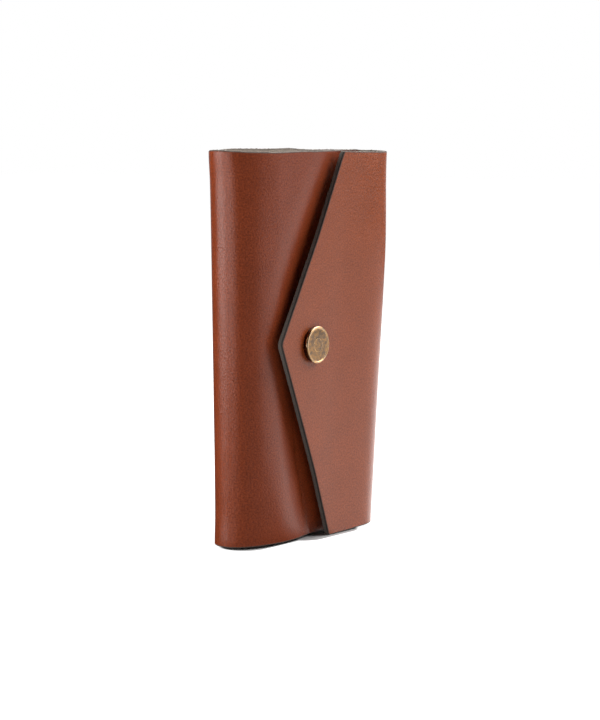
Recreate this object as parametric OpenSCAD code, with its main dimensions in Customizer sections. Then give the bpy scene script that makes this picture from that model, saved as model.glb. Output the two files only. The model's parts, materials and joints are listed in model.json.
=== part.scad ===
// Folding leather key case. One thick unlined sheet makes a front panel, a back panel
// and a pointed flap, which are joined by two soft folds. A press snap holds the flap,
// and a riveted rail inside carries a row of swivelling key hooks.
// The case stands on its end: the flap faces -Y, the folds run up the sides.
// The origin is the middle of the footprint.

/* [Case] */
// Height of the folded case
case_h = 130; // [100:1:170]
// Distance between the centre lines of the two folds, at half height
fold_spacing = 60; // [54:1:80]
// Depth of the pocket between the back and front panels
pocket_depth = 12.4; // [10:0.1:18]
// Angle by which the left fold leans outwards towards the top
left_lean = 1; // [0:0.1:3]
// Angle by which the right fold leans outwards towards the top
right_lean = 4.4; // [0:0.1:5]

/* [Leather] */
// Thickness of the leather
leather_t = 2; // [1.4:0.1:2.6]
// Gap between the front panel and the closed flap, which the snap fills
flap_gap = 2.2; // [2:0.1:4]
// Corner radius of the cut leather
corner_r = 2.5; // [1:0.1:4]

/* [Front panel] */
// Distance that the front panel stops short of the right fold's centre line
front_short = 7.8; // [4:0.1:15]

/* [Flap] */
// Distance from the right fold's centre line to the flap's point
flap_tip_reach = 51.9; // [45:0.1:56]
// Distance from the right fold's centre line to the flap's upper corner
flap_top_reach = 22.4; // [15:0.1:30]
// Distance from the right fold's centre line to the flap's lower corner
flap_foot_reach = 21.1; // [15:0.1:30]
// Radius of the flap's point
flap_tip_r = 3; // [1:0.1:5]
// Hollow of the flap's two slanting edges
flap_hollow = 0.9; // [0:0.1:2]

/* [Snap] */
// Diameter of the snap's cap
cap_d = 12.5; // [11:0.1:14]
// Height of the cap above the leather
cap_h = 1.7; // [1.4:0.1:2.4]
// Distance from the flap's point to the middle of the snap
snap_inset = 18.5; // [12:0.1:24]
// Diameter of the raised ring in the middle of the cap
cap_ring_d = 4.9; // [3:0.1:6]
// Diameter of the snap's tubular posts
snap_post_d = 3.4; // [3:0.1:4]
// Diameter of the socket under the flap
socket_d = 11; // [9:0.1:12]
// Diameter of the stud's knob
knob_d = 5.2; // [4.4:0.1:5.6]
// Diameter of the stud's flange and of the post's flange behind the front panel
snap_flange_d = 9.6; // [8:0.1:11]

/* [Key rail] */
// Distance between neighbouring hooks
hook_pitch = 8; // [7.2:0.1:9]
// Height of the rail's plate
rail_h = 12; // [10:0.1:14]
// Thickness of the rail's sheet metal
rail_t = 0.8; // [0.6:0.05:1]
// Distance from the rail's upper edge to the top of the case
rail_top_inset = 6; // [4:0.1:12]
// Distance from the rail's plate to the hooks' swivel axes
swivel_stand_off = 3.2; // [3:0.1:3.4]

/* [Rivets] */
// Diameter of the rivet caps on the back of the case
rivet_cap_d = 7; // [6:0.1:8]
// Diameter of the rivet posts
rivet_post_d = 3; // [2.4:0.1:3.4]
// Diameter of the rivet heads inside the case
rivet_head_d = 5.6; // [5:0.1:6.4]

/* [Key hooks] */
// Length of a key hook below the rail
hook_l = 24; // [20:0.5:30]
// Width of a key hook
hook_w = 6; // [5.8:0.1:6.2]
// Diameter of the hook's wire
hook_wire_d = 1.3; // [1.1:0.05:1.4]
// Thickness of the gate's spring strip
gate_t = 0.5; // [0.4:0.05:0.6]
// Width of the gate's spring strip
gate_w = 1.6; // [1.4:0.1:2]

/* [Hidden] */

// Facets round a circle, and steps round a corner of an outline
$fn = 64;
corner_steps = 8;
// Length by which cuts run past what they cut
overrun = 1;

// Colours
leather_colour = [0.58, 0.36, 0.28];
brass_colour = [0.66, 0.53, 0.40];
steel_colour = [0.72, 0.71, 0.69];

// Radii of the two folds, at the outside of the leather and at its inside
left_r = pocket_depth/2 + leather_t;
left_inner_r = pocket_depth/2;
right_r = (pocket_depth + 3*leather_t + flap_gap)/2;
right_inner_r = right_r - leather_t;
// Depth of the right fold's centre line from the middle of the pocket
right_y = -(flap_gap + leather_t)/2;

// Faces of the panels, as Y from the middle of the pocket
back_outer_y = pocket_depth/2 + leather_t;
back_inner_y = pocket_depth/2;
front_inner_y = -pocket_depth/2;
front_outer_y = front_inner_y - leather_t;
flap_inner_y = front_outer_y - flap_gap;
flap_outer_y = flap_inner_y - leather_t;

// Strips that make up each fold, the angle of one strip, and the seam between a strip and a panel
fold_strips = 4;
strip_angle = 180/fold_strips;
seam_gap = 0.05;

// X of the folds' centre lines at a height
function left_x(z) = -fold_spacing/2 - tan(left_lean)*(z - case_h/2);
function right_x(z) = fold_spacing/2 + tan(right_lean)*(z - case_h/2);

// Outermost points of the case, which set where the origin lies
rivet_cap_h = rivet_cap_d*0.17;
left_end = left_x(case_h) - left_r/cos(left_lean);
right_end = right_x(case_h) + right_r/cos(right_lean);
front_end = flap_outer_y - cap_h;
back_end = back_outer_y + rivet_cap_h;
centre_x = (left_end + right_end)/2;
centre_y = (front_end + back_end)/2;

// Flap outline: heights of its point and of the hollow of its edges, as shares of the height
tip_height_share = 0.515;
upper_hollow_share = 0.78;
lower_hollow_share = 0.17;
// Radius that blends the hollow into the edges
hollow_r = fold_spacing;
flap_tip = [right_x(case_h/2) - flap_tip_reach, tip_height_share*case_h];
flap_top = [right_x(case_h) - flap_top_reach, case_h];
flap_foot = [right_x(0) - flap_foot_reach, 0];

// Snap: its place on the flap and the stack of its pieces in the gap under the flap
snap_x = flap_tip[0] + snap_inset;
snap_z = tip_height_share*case_h - leather_t/2;
snap_sheet_t = 0.5;
snap_gap = 0.2;
fit_gap = 0.05;
socket_base_t = 0.4;
socket_t = flap_gap - snap_sheet_t - snap_gap;
socket_hole_r = knob_d/2 + socket_base_t + fit_gap;
knob_h = socket_t - socket_base_t + snap_gap/2;
knob_neck_share = 0.88;
spring_wire_d = 0.6;
snap_hole_r = snap_post_d/2 + fit_gap;
snap_bore_r = snap_post_d/2 - socket_base_t;

// Rail: the number of its hooks, which NODES lists, and its place and outline
hook_count = 6;
rail_top = case_h - rail_top_inset;
rail_foot = rail_top - rail_h;
rail_w = hook_count*hook_pitch;
rail_x = (left_x(rail_foot) + right_x(rail_foot))/2;
rail_face_y = back_inner_y - rail_t;
swivel_y = rail_face_y - swivel_stand_off;
flange_end_y = swivel_y - swivel_stand_off*0.85;
rail_corner_r = rail_h/6;
rivet_spread = hook_pitch*4.2;
rivet_z = rail_foot + rail_h*0.6;
rivet_head_h = 0.8;
rivet_hole_r = rivet_post_d/2 + fit_gap;

// Swivel pins and hooks
pin_d = hook_wire_d*1.4;
pin_head_d = pin_d*1.7;
pin_head_h = rail_t*0.75;
pin_foot_d = pin_d*1.2;
pin_foot_h = rail_t/2;
swivel_gap = 0.1;
bridge_h = hook_wire_d*1.3;
bridge_d = pin_head_d*0.95;
bridge_top = rail_foot - swivel_gap;
bridge_foot = bridge_top - bridge_h;
hook_foot = rail_foot - hook_l;
leg_x = hook_w/2 - hook_wire_d/2;
bend_z = hook_foot + hook_w/2;
nose_z = bend_z + hook_l*0.22;
gate_gap = 0.08;
gate_x = leg_x - hook_wire_d/2 - gate_gap - gate_t/2;
gate_eye_d = gate_t*3.4;
gate_pin_d = gate_t*1.6;
gate_pin_z = bridge_foot - pin_foot_h - gate_gap - gate_eye_d/2;
gate_foot = nose_z - hook_wire_d;
ear_t = gate_w*0.4;
eye_w = gate_w - 2*gate_gap;

// Points round one corner of an outline, between the corners before and after it
function corner_points(before, at, after, r) =
    let (
        a = (before - at)/norm(before - at),
        b = (after - at)/norm(after - at),
        half = acos(max(-1, min(1, a*b)))/2,
        reach = r/tan(half),
        centre = at + (a + b)/norm(a + b)*r/sin(half),
        from = at + a*reach - centre,
        to = at + b*reach - centre,
        turn = 180 - 2*half,
        side = from[0]*to[1] - from[1]*to[0] > 0 ? 1 : -1
    )
    [for (k = [0:corner_steps]) let (t = side*turn*k/corner_steps)
        centre + [from[0]*cos(t) - from[1]*sin(t), from[0]*sin(t) + from[1]*cos(t)]];

// Outline with rounded corners: a radius of zero keeps a corner sharp
function rounded(points, radii) =
    let (n = len(points))
    [for (i = [0:n - 1]) each (radii[i] == 0
        ? [points[i]]
        : corner_points(points[(i + n - 1) % n], points[i], points[(i + 1) % n], radii[i]))];

// Moves the whole case so that the origin is in the middle of its footprint
module placed() {
    translate([-centre_x, -centre_y, 0]) children();
}

// A plate between two Y faces, with its outline given in X and Z
module plate(points, near_y, far_y) {
    translate([0, far_y, 0]) rotate([90, 0, 0]) linear_extrude(far_y - near_y) polygon(points);
}

// The space between the level cuts at the foot and the top of the leather
module between_cuts() {
    translate([-fold_spacing, -fold_spacing, 0]) cube([2*fold_spacing, 2*fold_spacing, case_h]);
}

// A plan section carried up along the left fold, which leans
module along_left_fold() {
    intersection() {
        translate([left_x(0), 0, 0]) rotate([0, -left_lean, 0]) translate([0, 0, -left_r])
            linear_extrude(case_h + 3*left_r) children();
        between_cuts();
    }
}

// A plan section carried up along the right fold, which leans the other way
module along_right_fold() {
    intersection() {
        translate([right_x(0), right_y, 0]) rotate([0, right_lean, 0]) translate([0, 0, -right_r])
            linear_extrude(case_h + 3*right_r) children();
        between_cuts();
    }
}

// Plan section of the bent leather between two angles round a fold's centre line
module bend(outer_r, inner_r, from, to) {
    far = 2*outer_r;
    mid = (from + to)/2;
    intersection() {
        difference() {
            circle(r = outer_r);
            circle(r = inner_r);
        }
        polygon([[0, 0], far*[cos(from), sin(from)], far*[cos(mid), sin(mid)], far*[cos(to), sin(to)]]);
    }
}

// A round hole through a panel at the snap or at a rivet
module hole_y(x, z, r, near_y, far_y) {
    translate([x, far_y + overrun, z]) rotate([90, 0, 0]) cylinder(r = r, h = far_y - near_y + 2*overrun);
}

module back_panel() {
    outline = [
        [left_x(0) + seam_gap, 0], [right_x(0) - seam_gap, 0],
        [right_x(case_h) - seam_gap, case_h], [left_x(case_h) + seam_gap, case_h]
    ];
    color(leather_colour) placed() difference() {
        plate(outline, back_inner_y, back_outer_y);
        for (side = [-1, 1])
            hole_y(rail_x + side*rivet_spread/2, rivet_z, rivet_hole_r, back_inner_y, back_outer_y);
    }
}

module front_panel() {
    outline = rounded([
        [left_x(0) + seam_gap, 0], [right_x(0) - front_short, 0],
        [right_x(case_h) - front_short, case_h], [left_x(case_h) + seam_gap, case_h]
    ], [0, corner_r, corner_r, 0]);
    color(leather_colour) placed() difference() {
        plate(outline, front_outer_y, front_inner_y);
        hole_y(snap_x, snap_z, snap_hole_r, front_outer_y, front_inner_y);
    }
}

// Point on a straight edge at a given height, drawn in by the flap's hollow
function drawn_in(a, b, z) = [a[0] + (b[0] - a[0])*(z - a[1])/(b[1] - a[1]) + flap_hollow, z];

module flap() {
    upper_hollow = drawn_in(flap_tip, flap_top, upper_hollow_share*case_h);
    lower_hollow = drawn_in(flap_tip, flap_foot, lower_hollow_share*case_h);
    outline = rounded([
        flap_foot, [right_x(0) - seam_gap, 0], [right_x(case_h) - seam_gap, case_h],
        flap_top, upper_hollow, flap_tip, lower_hollow
    ], [corner_r, 0, 0, corner_r, hollow_r, flap_tip_r, hollow_r]);
    color(leather_colour) placed() difference() {
        plate(outline, flap_outer_y, flap_inner_y);
        hole_y(snap_x, snap_z, snap_hole_r, flap_outer_y, flap_inner_y);
    }
}

// Strips of the left fold, counted from the back panel round to the front panel
module left_fold(i) {
    start = 90 + (i - 1)*strip_angle;
    color(leather_colour) placed() along_left_fold()
        bend(left_r, left_inner_r, start, start + strip_angle);
}

// Strips of the right fold, counted from the back panel round to the flap
module right_fold(i) {
    start = 90 - i*strip_angle;
    color(leather_colour) placed() along_right_fold()
        bend(right_r, right_inner_r, start, start + strip_angle);
}

// Turns a piece made round Z so that its +Z points to the front, at the snap's place
module at_snap(y) {
    translate([snap_x, y, snap_z]) rotate([90, 0, 0]) children();
}

// Cap of the snap: a rolled rim, a shallow dished face, a raised ring and the post
module snap_cap() {
    cap_r = cap_d/2;
    rim_r = cap_h*0.42;
    dish_z = cap_h - rim_r*0.55;
    ring_r = cap_ring_d/2;
    ring_wire_r = ring_r*0.2;
    color(brass_colour) placed() at_snap(flap_outer_y) union() {
        rotate_extrude() union() {
            polygon([
                [0, 0], [cap_r - rim_r*0.6, 0], [cap_r, rim_r], [cap_r, cap_h - rim_r],
                [cap_r - rim_r, dish_z], [0, dish_z]
            ]);
            translate([cap_r - rim_r, cap_h - rim_r]) circle(r = rim_r, $fn = 32);
        }
        translate([0, 0, dish_z]) rotate_extrude()
            translate([ring_r - ring_wire_r, 0]) circle(r = ring_wire_r, $fn = 24);
        translate([0, 0, -leather_t - socket_base_t]) difference() {
            cylinder(d = snap_post_d, h = leather_t + socket_base_t + rim_r);
            translate([0, 0, -overrun]) cylinder(r = snap_bore_r, h = leather_t + overrun);
        }
    }
}

// Socket under the flap: a base against the leather and a wall round the knob,
// with two slots that hold the spring wires
module snap_socket() {
    socket_r = socket_d/2;
    color(brass_colour) placed() at_snap(flap_inner_y) mirror([0, 0, 1]) difference() {
        rotate_extrude() polygon([
            [snap_hole_r, 0], [socket_r, 0], [socket_r, socket_t*0.6], [socket_r - socket_t*0.4, socket_t],
            [socket_hole_r, socket_t], [socket_hole_r, socket_base_t], [snap_hole_r, socket_base_t]
        ]);
        for (side = [-1, 1]) spring_wire(side, spring_wire_d/2 + fit_gap, fit_gap);
    }
}

// One wire of the snap's spring, beside the knob, with a given radius
module spring_wire(side, r, more) {
    wire_l = socket_d*0.72;
    translate([side*(knob_d/2 + spring_wire_d/2 + fit_gap), 0, socket_base_t + spring_wire_d/2 + fit_gap])
        rotate([90, 0, 0]) cylinder(r = r, h = wire_l + 2*more, center = true, $fn = 24);
}

module snap_spring() {
    color(steel_colour) placed() at_snap(flap_inner_y) mirror([0, 0, 1])
        for (side = [-1, 1]) spring_wire(side, spring_wire_d/2, 0);
}

// Stud on the front panel: a flange and a hollow knob with a waist
module snap_stud() {
    flange_r = snap_flange_d/2;
    knob_r = knob_d/2;
    neck_r = knob_r*knob_neck_share;
    top = snap_sheet_t + knob_h;
    color(brass_colour) placed() at_snap(front_outer_y) rotate_extrude() polygon([
        [snap_hole_r, 0], [flange_r, 0], [flange_r, snap_sheet_t/2], [flange_r - snap_sheet_t/2, snap_sheet_t],
        [neck_r, snap_sheet_t], [neck_r, snap_sheet_t + knob_h*0.35], [knob_r, snap_sheet_t + knob_h*0.7],
        [knob_r*0.85, top], [0, top], [0, snap_sheet_t + knob_h*0.6], [snap_hole_r, snap_sheet_t + knob_h*0.6]
    ]);
}

// Post that holds the stud: a flange behind the front panel and a tube through it
module snap_post() {
    flange_r = snap_flange_d/2;
    post_r = snap_post_d/2;
    color(brass_colour) placed() at_snap(front_inner_y) rotate_extrude() polygon([
        [snap_bore_r, -snap_sheet_t], [flange_r - snap_sheet_t/2, -snap_sheet_t], [flange_r, -snap_sheet_t/2],
        [flange_r, 0], [post_r, 0], [post_r, leather_t + snap_sheet_t], [snap_bore_r, leather_t + snap_sheet_t]
    ]);
}

// Places of the hooks along the rail
function hook_x(i) = rail_x + (i - (hook_count + 1)/2)*hook_pitch;

// Rail: a plate on the back panel, bent forward along its foot into a flange with the swivel holes
module key_rail() {
    corner = rail_corner_r;
    half = rail_w/2;
    outline = rounded([
        [rail_x - half, rail_foot], [rail_x + half, rail_foot], [rail_x + half, rail_top], [rail_x - half, rail_top]
    ], [0, 0, corner, corner]);
    color(steel_colour) placed() difference() {
        union() {
            plate(outline, rail_face_y, back_inner_y);
            translate([0, 0, rail_foot]) linear_extrude(rail_t) polygon(rounded([
                [rail_x - half, back_inner_y], [rail_x - half, flange_end_y],
                [rail_x + half, flange_end_y], [rail_x + half, back_inner_y]
            ], [0, corner, corner, 0]));
        }
        for (side = [-1, 1])
            hole_y(rail_x + side*rivet_spread/2, rivet_z, rivet_hole_r, rail_face_y, back_inner_y);
        for (i = [1:hook_count])
            translate([hook_x(i), swivel_y, rail_foot - overrun])
                cylinder(r = pin_d/2 + swivel_gap, h = rail_t + 2*overrun);
    }
}

// Turns a piece made round Z so that its +Z points to the back, at both rivets
module at_rivets(y) {
    for (side = [-1, 1])
        translate([rail_x + side*rivet_spread/2, y, rivet_z]) rotate([-90, 0, 0]) children();
}

// Domed caps on the back of the case, with their posts through the leather and the rail
module rivet_caps() {
    cap_r = rivet_cap_d/2;
    dome_r = (cap_r*cap_r + rivet_cap_h*rivet_cap_h)/(2*rivet_cap_h);
    color(brass_colour) placed() at_rivets(back_outer_y) union() {
        intersection() {
            translate([0, 0, rivet_cap_h - dome_r]) sphere(r = dome_r);
            cylinder(r = rivet_cap_d, h = rivet_cap_h);
        }
        translate([0, 0, -leather_t - rail_t - rivet_head_h/2])
            cylinder(d = rivet_post_d, h = leather_t + rail_t + rivet_head_h/2 + rivet_cap_h/2);
    }
}

// Heads that close the rivets inside the case, on the rail's plate
module rivet_heads() {
    head_r = rivet_head_d/2;
    color(brass_colour) placed() at_rivets(rail_face_y) mirror([0, 0, 1]) rotate_extrude() polygon([
        [rivet_hole_r, 0], [head_r, 0], [head_r, rivet_head_h*0.4], [head_r*0.8, rivet_head_h*0.85],
        [head_r*0.5, rivet_head_h], [0, rivet_head_h], [0, rivet_head_h*0.6], [rivet_hole_r, rivet_head_h*0.6]
    ]);
}

// Pin on which a hook swivels: a head over the rail's flange and a foot under the hook's bridge
module swivel_pin(i) {
    head_foot = rail_foot + rail_t + swivel_gap;
    foot_top = bridge_foot;
    color(steel_colour) placed() translate([hook_x(i), swivel_y, 0]) union() {
        translate([0, 0, head_foot]) cylinder(d = pin_head_d, h = pin_head_h);
        translate([0, 0, foot_top - pin_foot_h]) cylinder(d = pin_d, h = head_foot + pin_head_h - foot_top + pin_foot_h);
        translate([0, 0, foot_top - pin_foot_h]) cylinder(d = pin_foot_d, h = pin_foot_h);
    }
}

// Key hook: a bridge on the pin, a long leg, a round foot, a short nose and two ears for the gate
module key_hook(i) {
    wire_r = hook_wire_d/2;
    color(steel_colour) placed() translate([hook_x(i), swivel_y, 0]) difference() {
        union() {
            translate([-hook_w/2, -bridge_d/2, bridge_foot]) cube([hook_w, bridge_d, bridge_h]);
            translate([-leg_x, 0, bend_z]) cylinder(r = wire_r, h = bridge_foot - bend_z + bridge_h/2);
            translate([0, 0, bend_z]) rotate([-90, 0, 0]) rotate_extrude(angle = 180)
                translate([leg_x, 0]) circle(r = wire_r);
            translate([leg_x, 0, bend_z]) cylinder(r = wire_r, h = nose_z - bend_z);
            translate([leg_x, 0, nose_z]) sphere(r = wire_r);
            for (side = [-1, 1])
                translate([gate_x - gate_pin_d/2, side*(gate_w + ear_t)/2 - ear_t/2, gate_pin_z - gate_eye_d/2])
                    cube([(gate_pin_d + gate_eye_d)/2, ear_t, bridge_foot - gate_pin_z + gate_eye_d/2 + bridge_h/2]);
            translate([gate_x, 0, gate_pin_z]) rotate([90, 0, 0])
                cylinder(d = gate_pin_d, h = gate_w + ear_t, center = true);
        }
        translate([0, 0, bridge_foot - overrun]) cylinder(r = pin_d/2 + fit_gap, h = bridge_h + 2*overrun);
    }
}

// Gate: a spring strip with an eye round the hook's small pin, which rests inside the nose
module hook_gate(i) {
    color(steel_colour) placed() translate([hook_x(i), swivel_y, 0]) difference() {
        union() {
            translate([gate_x, 0, gate_pin_z]) rotate([90, 0, 0]) cylinder(d = gate_eye_d, h = eye_w, center = true);
            translate([gate_x - gate_t/2, -eye_w/2, gate_foot]) cube([gate_t, eye_w, gate_pin_z - gate_foot]);
        }
        translate([gate_x, 0, gate_pin_z]) rotate([90, 0, 0])
            cylinder(r = gate_pin_d/2 + fit_gap, h = gate_w + overrun, center = true);
    }
}

back_panel();
front_panel();
flap();
left_fold(1);  // left_fold_1
left_fold(2);  // left_fold_2
left_fold(3);  // left_fold_3
left_fold(4);  // left_fold_4
right_fold(1);  // right_fold_1
right_fold(2);  // right_fold_2
right_fold(3);  // right_fold_3
right_fold(4);  // right_fold_4
snap_cap();
snap_socket();
snap_spring();
snap_stud();
snap_post();
key_rail();
rivet_caps();
rivet_heads();
swivel_pin(1);  // swivel_pin_1
swivel_pin(2);  // swivel_pin_2
swivel_pin(3);  // swivel_pin_3
swivel_pin(4);  // swivel_pin_4
swivel_pin(5);  // swivel_pin_5
swivel_pin(6);  // swivel_pin_6
key_hook(1);  // key_hook_1
key_hook(2);  // key_hook_2
key_hook(3);  // key_hook_3
key_hook(4);  // key_hook_4
key_hook(5);  // key_hook_5
key_hook(6);  // key_hook_6
hook_gate(1);  // hook_gate_1
hook_gate(2);  // hook_gate_2
hook_gate(3);  // hook_gate_3
hook_gate(4);  // hook_gate_4
hook_gate(5);  // hook_gate_5
hook_gate(6);  // hook_gate_6
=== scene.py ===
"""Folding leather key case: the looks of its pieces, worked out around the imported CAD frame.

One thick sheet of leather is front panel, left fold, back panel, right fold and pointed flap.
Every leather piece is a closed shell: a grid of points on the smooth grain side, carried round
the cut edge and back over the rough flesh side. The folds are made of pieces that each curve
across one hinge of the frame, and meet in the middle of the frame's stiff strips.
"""

import json
import math

import bpy
import numpy as np
from bpy.props import FloatProperty, FloatVectorProperty, PointerProperty
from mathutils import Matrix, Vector


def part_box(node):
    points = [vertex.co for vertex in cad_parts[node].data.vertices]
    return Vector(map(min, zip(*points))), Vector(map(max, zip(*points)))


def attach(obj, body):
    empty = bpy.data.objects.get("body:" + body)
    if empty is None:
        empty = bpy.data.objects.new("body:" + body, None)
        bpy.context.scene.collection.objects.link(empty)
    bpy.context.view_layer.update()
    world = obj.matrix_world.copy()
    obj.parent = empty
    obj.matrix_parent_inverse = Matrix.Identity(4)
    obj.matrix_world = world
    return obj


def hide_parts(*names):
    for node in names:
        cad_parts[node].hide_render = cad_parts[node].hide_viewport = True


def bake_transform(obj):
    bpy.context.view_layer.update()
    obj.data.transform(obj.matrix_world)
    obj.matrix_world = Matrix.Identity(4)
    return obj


bl_info = {
    "name": "Folding key case",
    "version": (1, 0, 0),
    "blender": (4, 5, 0),
    "location": "3D View > Sidebar > Key case",
    "description": "Leather shells, antique brass snap, key hooks and stage of a folding key case",
    "category": "Object",
}

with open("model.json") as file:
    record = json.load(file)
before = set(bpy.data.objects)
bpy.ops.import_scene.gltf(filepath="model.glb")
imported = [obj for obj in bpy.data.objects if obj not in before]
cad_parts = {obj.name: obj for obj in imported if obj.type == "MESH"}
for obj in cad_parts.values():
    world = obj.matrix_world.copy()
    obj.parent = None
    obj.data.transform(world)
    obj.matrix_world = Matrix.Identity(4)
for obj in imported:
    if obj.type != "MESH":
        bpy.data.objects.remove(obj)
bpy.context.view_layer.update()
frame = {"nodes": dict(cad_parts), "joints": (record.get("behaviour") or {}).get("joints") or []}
JOINTS = {joint["name"]: joint for joint in frame["joints"]}
MM = 0.001

# Hinges of one fold, and the angle between neighbouring hinges round it
HINGES = 5
STRIP_ANGLE = math.pi / (HINGES - 1)


# ---------------------------------------------------------------- sizes read from the frame


class Fold:
    """Centre line, outer radius and lean of one fold, from the hinges on its outer surface."""

    def __init__(self, prefix, turn):
        first = np.array(JOINTS[prefix + "1"]["pos_m"])
        last = np.array(JOINTS[prefix + str(HINGES)]["pos_m"])
        axis = np.array(JOINTS[prefix + "1"]["axis"])
        self.prefix = prefix
        self.turn = turn
        self.centre = (first + last) / 2
        self.radius = np.linalg.norm(first - last) / 2
        self.axis = axis * np.sign(axis[2])
        self.slope = self.axis[0] / self.axis[2]
        self.widen = 1 / self.axis[2]
        self.half = self.radius * math.pi / 2

    def line_x(self, z):
        """X of the leaning centre line at a height."""
        return self.centre[0] + self.slope * (z - self.centre[2])

    def across(self, theta):
        """Unit direction that runs round the fold at plan angle theta, in the way of its turn."""
        x, _, z = math.cos(theta) * self.axis
        return np.cross(self.axis, (z, math.sin(theta), -x)) * self.turn


LEFT = Fold("front_bend_", 1)
RIGHT = Fold("flap_bend_", -1)

BACK_LOW, BACK_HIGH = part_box("back_panel")
CAP_LOW, CAP_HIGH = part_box("snap_cap")
HEIGHT = BACK_HIGH.z
LEATHER_T = BACK_HIGH.y - BACK_LOW.y
# Y of the plain flap's outer face
FLAP_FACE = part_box("flap")[0].y


# ---------------------------------------------------------------- values that a user would change


def length_value(name, millimetres, description):
    """A length that a user can change, given in millimetres."""
    return FloatProperty(
        name=name, description=description, default=millimetres * MM, unit="LENGTH"
    )


def share_value(name, default, description, low=0, high=1):
    """A share that a user can change."""
    return FloatProperty(
        name=name, description=description, default=default, subtype="FACTOR", min=low, max=high
    )


def angle_value(name, degrees, description):
    """An angle that a user can change, given in degrees."""
    return FloatProperty(
        name=name, description=description, default=math.radians(degrees), unit="ROTATION"
    )


def colour_value(name, default, description):
    """A linear colour that a user can change."""
    return FloatVectorProperty(
        name=name, description=description, default=default, subtype="COLOR", min=0, max=1
    )


class KeyCaseLeather(bpy.types.PropertyGroup):
    """Forms of the leather that the CAD solids leave plain."""

    grain_edge_r: length_value("Grain edge radius", 0.45, "Rounding of the smooth side's edge")
    flesh_edge_r: length_value("Flesh edge radius", 0.4, "Rounding of the rough side's edge")
    corner_r: length_value("Corner radius", 0.9, "Corners of the front panel and the flap")
    front_short: length_value("Front shortfall", 7.8, "Right fold's line to the front panel's end")
    tip_reach: length_value("Point reach", 53.6, "Right fold's line to the flap's sharp point")
    top_reach: length_value("Top reach", 22.7, "Right fold's line to the flap's upper corner")
    foot_reach: length_value("Foot reach", 21.2, "Right fold's line to the flap's lower corner")
    tip_r: length_value("Point radius", 3.0, "Radius of the flap's point")
    hollow: length_value("Flap hollow", 0.9, "How far the flap's slanting edges are drawn in")
    tip_share: share_value("Point height", 0.515, "Share of the height at the point", 0.3, 0.7)
    fray: length_value("Fray", 0.28, "How far fibres stand out of the cut edges")
    swell: length_value("Swell", 3.0, "How far the front panel bows out where it is free")
    crest: length_value("Crest", 11.5, "Left fold's line to the crest of the swell")
    turn_foot: length_value("Turn, foot", 25.0, "Flap's edge to where the swell falls, at the foot")
    turn_top: length_value("Turn, top", 17.0, "Flap's edge to where the swell falls, at the top")
    bend: length_value("Bend", 12.0, "Width of the round bend at the turn")
    drop: length_value("Drop", 13.0, "Width in which the straight slope would use up the swell")
    snap_hold: share_value("Hold", 0.3, "Part by which the swell is smaller at the snap's height")
    flap_lift: length_value("Lift", 1.36, "How far the flap's point stands off the front panel")
    ease: length_value("Ease", 6.5, "Distance over which the bend of a fold eases in")
    flare: length_value("Flare", 0.7, "How far the left fold's ends spread")
    belly: length_value("Belly", 1.05, "How far the right fold stands out above half height")


class KeyCaseSnap(bpy.types.PropertyGroup):
    """Forms of the snap's cap."""

    ring_d: length_value("Ring diameter", 4.7, "Diameter of the ring in the middle of the cap")
    ring_h: length_value("Ring height", 0.03, "How far the ring stands out of the cap's face")
    rim_r: length_value("Rim radius", 0.42, "Radius of the rolled rim of the cap")
    recess: length_value("Recess", 0.1, "Depth of the cap's face under its rim")
    aside: length_value("Cap aside", 1.9, "How far the cap sits off its post towards the point")
    down: length_value("Cap down", 0.25, "How far the cap sits under its post's height")
    post_d: length_value("Post diameter", 3.4, "Diameter of the tubular post under the cap")


class KeyCaseColours(bpy.types.PropertyGroup):
    """Linear colours of the finishes."""

    grain: colour_value("Grain side", (0.315, 0.061, 0.0175), "Smooth outer side of the leather")
    flesh: colour_value("Flesh side", (0.56, 0.465, 0.385), "Rough inner side of the leather")
    cut_edge: colour_value("Cut edge", (0.135, 0.115, 0.098), "Cut edges of the leather")
    brass: colour_value("Antique brass", (0.78, 0.50, 0.25), "Bright places of snap and rivets")
    patina: colour_value("Brass patina", (0.30, 0.185, 0.10), "Dark places of snap and rivets")
    steel: colour_value("Nickel plate", (0.60, 0.58, 0.55), "Rail, pins, hooks, gates and spring")


class KeyCaseStage(bpy.types.PropertyGroup):
    """Camera and light."""

    view_azimuth: angle_value("View azimuth", -52.546, "Camera's turn: 0 looks at the flap's side")
    view_pitch: angle_value("View pitch", 5.91, "Angle by which the camera looks down")
    camera_place: FloatVectorProperty(
        name="Camera place",
        description="Place of the camera",
        default=(-0.5688, -0.4343, 0.1332),
        subtype="TRANSLATION",
    )
    lens: FloatProperty(
        name="Focal length",
        description="Focal length of the camera in millimetres, on a 36 mm sensor",
        default=105.0,
    )
    surround: share_value("Surround light", 0.015, "Level of the even light from all sides")


def values():
    """The scene's own values."""
    scene = bpy.context.scene
    return scene.key_case_leather, scene.key_case_snap, scene.key_case_colours, scene.key_case_stage


# ---------------------------------------------------------------- numbers that vary smoothly


def smooth_step(x, low, high):
    """0 below low and 1 above high, with a smooth S between: 3t^2 - 2t^3."""
    t = np.clip((x - low) / (high - low), 0, 1)
    return t * t * (3 - 2 * t)


def patchy(u, v, cell, seed):
    """Value noise from -1 to 1: seeded random numbers on square cells, blended smoothly between."""
    size = 64
    table = np.random.default_rng(seed).uniform(-1, 1, (size, size))
    a, b = u / cell, v / cell
    i, j = np.floor(a).astype(int), np.floor(b).astype(int)
    s, t = a - i, b - j
    s, t = s * s * (3 - 2 * s), t * t * (3 - 2 * t)
    i0, i1, j0, j1 = i % size, (i + 1) % size, j % size, (j + 1) % size
    low = table[i0, j0] * (1 - s) + table[i1, j0] * s
    high = table[i0, j1] * (1 - s) + table[i1, j1] * s
    return low * (1 - t) + high * t


# ---------------------------------------------------------------- the sheet of leather in space


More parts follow.
